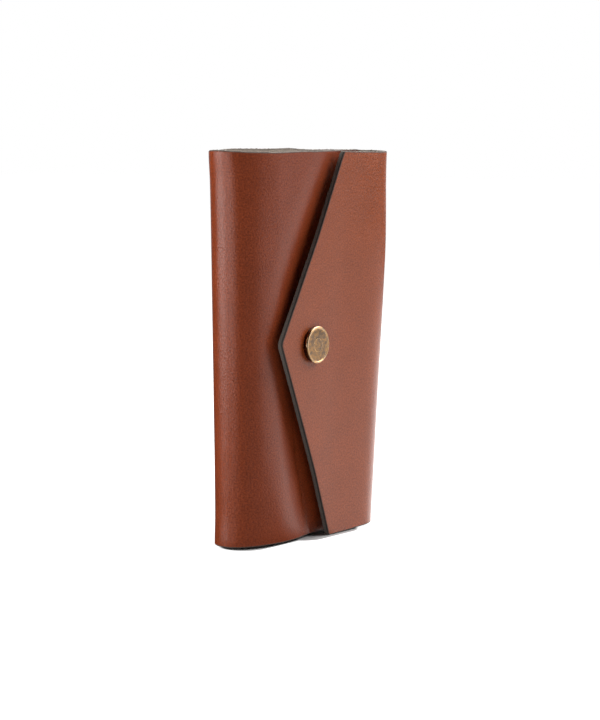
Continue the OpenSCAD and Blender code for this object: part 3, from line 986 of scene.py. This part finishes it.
def make_panel(name, fold, corners, radii, columns):
    """A panel that lies on from the end of a fold, with its free corners rounded."""
    leather = values()[0]

    def along(x, z):
        return fold.half + fold.turn * (x - fold.line_x(z))

    return panel_shell(
        name,
        lambda x, z, d: sheet_point(fold, along(x, z), z, d, leather),
        lambda x, z: sheet_u(fold, along(x, z), z),
        fold.line_x,
        rounded_outline(np.array(corners), radii),
        facing(-1),
        leather,
        columns,
    )


class KEYCASE_OT_back_panel(bpy.types.Operator):
    """Makes the back panel's leather between the two folds"""

    bl_idname = "keycase.back_panel"
    bl_label = "Back panel"

    def execute(self, context):
        leather = values()[0]

        def back_x(c, z):
            return LEFT.line_x(z) * (1 - c) + RIGHT.line_x(z) * c

        def place(c, z, d):
            x = back_x(c, z)
            left = sheet_point(LEFT, -LEFT.half - (x - LEFT.line_x(z)), z, d, leather)
            right = sheet_point(RIGHT, -RIGHT.half - (RIGHT.line_x(z) - x), z, d, leather)
            return np.where((c < 0.5)[..., None], left, right)

        columns = np.linspace(0, 1, BACK_COLUMNS)
        piece = strip_shell(
            "back_panel_leather", place, back_x, columns, facing(1), leather, rows=30
        )
        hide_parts("back_panel")
        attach(piece, "back_panel")
        return {"FINISHED"}


class KEYCASE_OT_right_fold(bpy.types.Operator):
    """Makes the right fold, which carries the flap"""

    bl_idname = "keycase.right_fold"
    bl_label = "Right fold"

    def execute(self, context):
        make_fold(RIGHT, "right")
        return {"FINISHED"}


class KEYCASE_OT_left_fold(bpy.types.Operator):
    """Makes the left fold, which carries the front panel"""

    bl_idname = "keycase.left_fold"
    bl_label = "Left fold"

    def execute(self, context):
        make_fold(LEFT, "left")
        return {"FINISHED"}


class KEYCASE_OT_front_panel(bpy.types.Operator):
    """Makes the front panel, which the flap covers"""

    bl_idname = "keycase.front_panel"
    bl_label = "Front panel"

    def execute(self, context):
        leather = values()[0]
        corners = [
            [LEFT.line_x(0), 0],
            [RIGHT.line_x(0) - leather.front_short, 0],
            [RIGHT.line_x(HEIGHT) - leather.front_short, HEIGHT],
            [LEFT.line_x(HEIGHT), HEIGHT],
        ]
        radii = [leather.corner_r] * 2
        piece = make_panel("front_panel_leather", LEFT, corners, radii, columns=40)
        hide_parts("front_panel")
        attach(piece, "front_panel")
        return {"FINISHED"}


class KEYCASE_OT_flap(bpy.types.Operator):
    """Makes the pointed flap"""

    bl_idname = "keycase.flap"
    bl_label = "Flap"

    def execute(self, context):
        leather = values()[0]
        tip = (RIGHT.line_x(HEIGHT / 2) - leather.tip_reach, leather.tip_share * HEIGHT)
        top = (RIGHT.line_x(HEIGHT) - leather.top_reach, HEIGHT)
        foot = (RIGHT.line_x(0) - leather.foot_reach, 0)

        def drawn_in(end, z):
            x = tip[0] + (end[0] - tip[0]) * (z - tip[1]) / (end[1] - tip[1])
            return (x + leather.hollow, z)

        corners = [
            (RIGHT.line_x(0), 0),
            foot,
            drawn_in(foot, HOLLOW_FOOT * HEIGHT),
            tip,
            drawn_in(top, HOLLOW_TOP * HEIGHT),
            top,
            (RIGHT.line_x(HEIGHT), HEIGHT),
        ]
        radii = [leather.corner_r, HOLLOW_R, leather.tip_r, HOLLOW_R, leather.corner_r]
        piece = make_panel("flap_leather", RIGHT, corners, radii, columns=24)
        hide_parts("flap")
        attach(piece, "flap")
        return {"FINISHED"}


# Points round a turned piece
TURNED_STEPS = 160


def turned(name, profile, wear, centre, up, material):
    """A turned piece: a profile of (radius, height) that starts and ends on the axis.

    Point (r, h) at angle a lies at centre + r (cos a . side + sin a . forward) + h . up. The wear
    of each profile point goes into an attribute, for the patina.
    """
    r, h = profile[1:-1, 0, None], profile[1:-1, 1, None]
    side = np.array([1.0, 0, 0])
    forward = np.cross(up, side)
    a = np.linspace(0, 2 * math.pi, TURNED_STEPS, endpoint=False)[:, None, None]
    body = np.array(centre) + (np.cos(a) * side + np.sin(a) * forward) * r + up * h
    poles = np.array(centre) + up * profile[[0, -1], 1, None]
    index = np.arange(TURNED_STEPS * len(r)).reshape(TURNED_STEPS, -1)
    after = np.roll(index, -1, 0)
    quads = np.stack([index[:, :-1], after[:, :-1], after[:, 1:], index[:, 1:]], -1)
    first, last = index.size, index.size + 1
    fans = [[first, q, p] for p, q in zip(index[:, 0].tolist(), after[:, 0].tolist())]
    fans += [[last, p, q] for p, q in zip(index[:, -1].tolist(), after[:, -1].tolist())]
    points = np.concatenate([body.reshape(-1, 3), poles])
    worn = np.concatenate([np.tile(wear[1:-1], TURNED_STEPS), wear[[0, -1]]])
    faces = quads.reshape(-1, 4).tolist() + fans
    piece = new_piece(name, points, faces, [material], "wear", worn)
    return piece


def arc(centre, r, start, end, steps):
    """Points on an arc, with angles in degrees from the +radius direction."""
    t = np.radians(np.linspace(start, end, steps))
    return np.stack([centre[0] + r * np.cos(t), centre[1] + r * np.sin(t)], -1)


# Width of the cap's ring as a multiple of its height, and rounding of the cap's foot as a share
# of the rim's radius
RING_SLIMNESS = 3.5
FOOT_ROUND = 0.6
# The rim and the foot's rounding as (start, end in degrees, points), and points across the face
RIM_ARC, FOOT_ARC = (0, 130, 22), (-90, -20, 6)
FACE_POINTS = 120
# Radius of the flat underside as a share of the cap's
UNDERSIDE = 0.8
# Wear of the cap: on the plain face, more on the rim and on the ring, and less at the side, where
# the patina is darkened to almost black as painted shade
FACE_WEAR, RIM_WEAR, RING_WEAR, SIDE_PATINA_AND_PAINTED_SHADE = 0.24, 1.2, 0.6, -0.144
# Shares of the cap's height above which the face, the rim and the ring lie
FACE_FROM, RIM_FROM, RING_FROM = 0.82, 0.7, 0.5
POST_WEAR = 0.3
POST_CHAMFER = 0.1 * MM


def cap_profile(snap, radius, cap_h):
    """Half section of the cap as (radius, height): foot, rolled rim, and face with its ring.

    The face drops from the rim to its recess in a smooth S over twice the rim's radius. The ring
    is a bell curve: its height times e to the minus 1.5 times the square of the distance in
    widths.
    """
    rim_r, face_h, width = snap.rim_r, cap_h - snap.recess, ring_width(snap)
    foot_r = rim_r * FOOT_ROUND
    rim = arc((radius - rim_r, cap_h - rim_r), rim_r, *RIM_ARC)
    edge_r, edge_h = rim[-1]
    r = np.linspace(edge_r, 0, FACE_POINTS)[1:]
    ring = snap.ring_h * np.exp(-(((r - snap.ring_d / 2 + width) / width) ** 2) * 1.5)
    step_in = smooth_step(r, edge_r - 2 * rim_r, edge_r)
    face = np.stack([r, face_h + (edge_h - face_h) * step_in + ring], -1)
    foot = arc((radius - rim_r, foot_r), foot_r, *FOOT_ARC)
    return np.concatenate([[[0, 0]], [[radius * UNDERSIDE, 0]], foot, rim, face])


def ring_width(snap):
    """Half width of the cap's ring."""
    return snap.ring_h * RING_SLIMNESS


def cap_wear(snap, profile, radius, cap_h):
    """Wear along the cap's profile: bell curves over the rim and the ring, on top of the face."""
    r, h = profile[:, 0], profile[:, 1] / cap_h
    rim_r, width = snap.rim_r, ring_width(snap)
    on_rim = np.exp(-(((r - radius + rim_r) / (rim_r * 0.9)) ** 2)) * (h > RIM_FROM)
    on_ring = np.exp(-(((r - snap.ring_d / 2 + width) / width) ** 2)) * (h > RING_FROM)
    # Below the face the side gets patina darkened to almost black, as painted shade
    on_face = np.where(h > FACE_FROM, FACE_WEAR, SIDE_PATINA_AND_PAINTED_SHADE)
    return np.minimum(on_face + RIM_WEAR * on_rim + RING_WEAR * on_ring, 1)


class KEYCASE_OT_snap(bpy.types.Operator):
    """Makes the snap's cap, and gives the snap's other pieces their finish"""

    bl_idname = "keycase.snap"
    bl_label = "Snap"

    def execute(self, context):
        snap = values()[1]
        brass = finish_material("antique_brass", antique_brass)
        radius = (CAP_HIGH.x - CAP_LOW.x) / 2
        cap_h = FLAP_FACE - CAP_LOW.y
        axis_x, axis_z = (CAP_LOW.x + CAP_HIGH.x) / 2, (CAP_LOW.z + CAP_HIGH.z) / 2

        def seat(x, z):
            """Point of the lifted flap's outer face at a place of the plain flap."""
            return [x, FLAP_FACE - float(flap_rise(RIGHT.line_x(z) - x)), z]

        x, z = axis_x - snap.aside, axis_z - snap.down
        slope = (seat(x + MM, z)[1] - seat(x - MM, z)[1]) / (2 * MM)
        up = np.array([slope, -1, 0]) / math.hypot(slope, 1)
        profile = cap_profile(snap, radius, cap_h)
        wear = cap_wear(snap, profile, radius, cap_h)
        cap = turned("snap_cap_brass", profile, wear, seat(x, z), up, brass)
        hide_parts("snap_cap")
        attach(cap, "flap")

        foot, post_r = FLAP_FACE - CAP_HIGH.y, snap.post_d / 2
        stem = [[0, foot], [post_r - POST_CHAMFER, foot], [post_r, foot + POST_CHAMFER]]
        stem = np.array(stem + [[post_r, -POST_CHAMFER], [0, -POST_CHAMFER]])
        wear = np.full(len(stem), POST_WEAR)
        post = turned("snap_cap_post", stem, wear, seat(axis_x, axis_z), up, brass)
        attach(post, "flap")
        plain = finish_material("antique_brass_plain", antique_brass)
        dress(["snap_socket", "snap_stud", "snap_post"], plain)
        dress(["snap_spring"], finish_material("nickel_steel", nickel_steel))
        return {"FINISHED"}


def dress(nodes, material):
    """Gives CAD nodes a material."""
    for name in nodes:
        mesh = frame["nodes"][name].data
        mesh.materials.clear()
        mesh.materials.append(material)


class KEYCASE_OT_hardware(bpy.types.Operator):
    """Gives the rail, rivets, swivel pins, hooks and gates their finish"""

    bl_idname = "keycase.hardware"
    bl_label = "Rail, rivets and hooks"

    def execute(self, context):
        steel = finish_material("nickel_steel", nickel_steel)
        brass = finish_material("antique_brass_plain", antique_brass)
        starts = ("key_rail", "swivel_pin", "key_hook", "hook_gate")
        dress([node for node in frame["nodes"] if node.startswith(starts)], steel)
        dress(["rivet_caps", "rivet_heads"], brass)
        return {"FINISHED"}


# ---------------------------------------------------------------- stage

# Lamps as (name, plan direction in degrees from +X, elevation, distance, width, height, watts)
LAMPS = [
    ("left_strip", 150.0, 3.2, 0.8, 0.6, 0.22, 1.7),
    ("front_strip", 192.0, 3.2, 0.8, 0.4, 0.22, 0.4),
    ("left_softbox", 158.0, 32.0, 0.8, 0.6, 0.35, 3.6),
    ("right_softbox", 334.0, 42.0, 0.8, 0.9, 0.6, 10.6),
]
# Brightness of the table in reflections, and of papers on it as (plan direction, half width to
# the edge and to the full level in degrees, distances where it starts and is full, level)
DARK_TABLE = 0.02
PAPERS = [
    (316.0, 30.0, 14.0, 0.765, 0.75, 1.15),
    (364.0, 30.0, 14.0, 0.765, 0.75, 2.2),
    (322.0, 24.0, 8.0, 0.735, 0.755, 0.7),
    (322.0, 24.0, 8.0, 0.95, 1.35, 1.1),
    (180.0, 45.0, 15.0, 0.3, 0.6, 2.4),
    (265.0, 40.0, 15.0, 0.0, 0.01, 0.15),
]
# The white backdrop in reflections: plan direction of its middle, half width to its edge and to
# where it is full, in degrees
BACKDROP = (37.4, 50.0, 25.0)
# The painted contact shadow's footprint in plan, as middle lines along X with a shared radius
# round them: middle x and y, and half length. The first is the panels', the second the flap's. The
# soft rim lies outside.
PAINTED_SHADOW_FOOTPRINTS = [(-5.0 * MM, 0.0, 27.0 * MM), (3.0 * MM, -4.3 * MM, 9.0 * MM)]
FOOT_R = 7.4 * MM
FOOT_RIM = 1.8 * MM
# Half the side of the table
TABLE_HALF = 6.0


def toward(add, unit, direction, edge, core):
    """0 beyond edge degrees from a plan direction and 1 within core degrees of it."""
    angle = math.radians(direction)
    cosine = vector_maths(add, "DOT_PRODUCT", unit, (math.cos(angle), math.sin(angle), 0))
    limits = math.cos(math.radians(edge)), math.cos(math.radians(core))
    return mapped(add, cosine, *limits, smooth=True)


def mirrored_table(add, flat):
    """Brightness of the table in reflections: dark, but for papers.

    Each paper adds its level times two shares, of its plan direction and of the distance.
    """
    unit = vector_maths(add, "NORMALIZE", flat)
    away = vector_maths(add, "LENGTH", flat)
    level = DARK_TABLE
    for direction, edge, core, start, full, brightness in PAPERS:
        fade = mapped(add, away, start, full, smooth=True)
        share = maths(add, "MULTIPLY", toward(add, unit, direction, edge, core), fade)
        level = maths(add, "MULTIPLY_ADD", share, brightness, level)
    return level


def off_footprint(add, flat):
    """0 on the footprint of the painted contact shadow and 1 off it.

    The distance from each middle line is the length of what sticks out of it, and the smallest
    one counts.
    """
    nearest = 1.0
    for x, y, half in PAINTED_SHADOW_FOOTPRINTS:
        aside = vector_maths(add, "ABSOLUTE", vector_maths(add, "SUBTRACT", flat, (x, y, 0)))
        beyond = vector_maths(add, "SUBTRACT", aside, (half, 0, 0))
        reach = vector_maths(add, "LENGTH", vector_maths(add, "MAXIMUM", beyond, (0, 0, 0)))
        nearest = maths(add, "MINIMUM", nearest, reach)
    return mapped(add, nearest, FOOT_R, FOOT_R + FOOT_RIM, smooth=True)


def pale_floor():
    """White table. To the camera it glows, so that it meets the white backdrop.

    The glow is taken away on a fixed footprint round the case's foot, which paints a contact shadow
    there; only the shade on the diffuse part under it is real. In reflections the table is dark, as
    the room in front of it is, but for lit papers.
    """
    material, add = new_material("pale_floor")
    path = add("ShaderNodeLightPath").outputs
    place = add("ShaderNodeTexCoord").outputs["Object"]
    flat = vector_maths(add, "MULTIPLY", place, (1, 1, 0))
    paper = add("ShaderNodeBsdfDiffuse", (*grey(0.75), 1)).outputs[0]
    reflected = add("ShaderNodeEmission", Strength=mirrored_table(add, flat)).outputs[0]
    pale = add("ShaderNodeBsdfDiffuse", (*grey(0.5), 1)).outputs[0]
    # The glow is cut on the footprint, which paints the contact shadow
    glow = add("ShaderNodeEmission", Strength=off_footprint(add, flat)).outputs[0]
    seen = add("ShaderNodeAddShader", pale, glow).outputs[0]
    lit = add("ShaderNodeMixShader", path["Is Glossy Ray"], paper, reflected).outputs[0]
    shown = add("ShaderNodeMixShader", path["Is Camera Ray"], lit, seen).outputs[0]
    add("ShaderNodeOutputMaterial", shown)
    return material


def white_surround(level):
    """A world that is white to the camera, and in reflections on the side of the backdrop.

    On all other ways it is an even light of a low level.
    """
    world = bpy.data.worlds.new("white_surround")
    world.use_nodes = True
    add = node_adder(world.node_tree)
    path = add("ShaderNodeLightPath").outputs
    way = add("ShaderNodeTexCoord").outputs["Generated"]
    seen = maths(add, "MAXIMUM", path["Is Camera Ray"], path["Is Transmission Ray"])
    mirrored = maths(add, "MULTIPLY", path["Is Glossy Ray"], toward(add, way, *BACKDROP))
    shown = maths(add, "MAXIMUM", maths(add, "MAXIMUM", seen, mirrored), level)
    white = add("ShaderNodeBackground", (*grey(1), 1), shown)
    add("ShaderNodeOutputWorld", white.outputs[0])
    return world


def place_lamp(name, plan, rise, distance, width, height, watts):
    """A soft lamp that looks at the middle of the case from a direction and a distance."""
    a, e = math.radians(plan), math.radians(rise)
    away = Vector((math.cos(a) * math.cos(e), math.sin(a) * math.cos(e), math.sin(e)))
    lamp = bpy.data.lights.new(name, "AREA")
    lamp.shape = "RECTANGLE"
    lamp.size, lamp.size_y = width, height
    lamp.energy = watts
    holder = bpy.data.objects.new(name, lamp)
    holder.location = Vector((0, 0, HEIGHT / 2)) + away * distance
    holder.rotation_euler = (-away).to_track_quat("-Z", "Y").to_euler()
    bpy.context.scene.collection.objects.link(holder)


class KEYCASE_OT_stage(bpy.types.Operator):
    """Makes the floor, the surround, the lamps and the camera"""

    bl_idname = "keycase.stage"
    bl_label = "Stage"

    def execute(self, context):
        stage = values()[3]
        scene = bpy.context.scene
        scene.view_settings.view_transform = "Standard"

        mesh = bpy.data.meshes.new("pale_floor")
        level, half = min(height for _, height in FOOT_LINE) * MM, TABLE_HALF
        corners = [(-half, -half), (half, -half), (half, half), (-half, half)]
        mesh.from_pydata([(x, y, level) for x, y in corners], [], [(0, 1, 2, 3)])
        mesh.materials.append(pale_floor())
        floor = bpy.data.objects.new("pale_floor", mesh)
        scene.collection.objects.link(floor)

        scene.world = white_surround(stage.surround)
        for lamp in LAMPS:
            place_lamp(*lamp)

        lens = bpy.data.cameras.new("camera")
        lens.lens = stage.lens
        lens.sensor_width = 36.0
        lens.clip_start, lens.clip_end = 0.05, 50.0
        camera = bpy.data.objects.new("camera", lens)
        camera.location = stage.camera_place
        camera.rotation_euler = (math.pi / 2 - stage.view_pitch, 0, stage.view_azimuth)
        scene.collection.objects.link(camera)
        scene.camera = camera
        return {"FINISHED"}


class KEYCASE_PT_pieces(bpy.types.Panel):
    """Lists the steps that make the key case"""

    bl_idname = "KEYCASE_PT_pieces"
    bl_label = "Key case"
    bl_space_type = "VIEW_3D"
    bl_region_type = "UI"
    bl_category = "Key case"

    def draw(self, context):
        for step in STEPS:
            self.layout.operator(step.bl_idname)


GROUPS = {
    "key_case_leather": KeyCaseLeather,
    "key_case_snap": KeyCaseSnap,
    "key_case_colours": KeyCaseColours,
    "key_case_stage": KeyCaseStage,
}
STEPS = [
    KEYCASE_OT_stage,
    KEYCASE_OT_back_panel,
    KEYCASE_OT_right_fold,
    KEYCASE_OT_flap,
    KEYCASE_OT_left_fold,
    KEYCASE_OT_front_panel,
    KEYCASE_OT_snap,
    KEYCASE_OT_hardware,
]


def register():
    """Registers the values, steps and panel."""
    for name, group in GROUPS.items():
        bpy.utils.register_class(group)
        setattr(bpy.types.Scene, name, PointerProperty(type=group))
    for step in [*STEPS, KEYCASE_PT_pieces]:
        bpy.utils.register_class(step)


def unregister():
    """Takes away what register added."""
    for step in reversed([*STEPS, KEYCASE_PT_pieces]):
        bpy.utils.unregister_class(step)
    for name, group in GROUPS.items():
        delattr(bpy.types.Scene, name)
        bpy.utils.unregister_class(group)


def main():
    """Runs every step in order."""
    register()
    for step in STEPS:
        group, name = step.bl_idname.split(".")
        getattr(getattr(bpy.ops, group), name)()


if __name__ == "__main__":
    main()
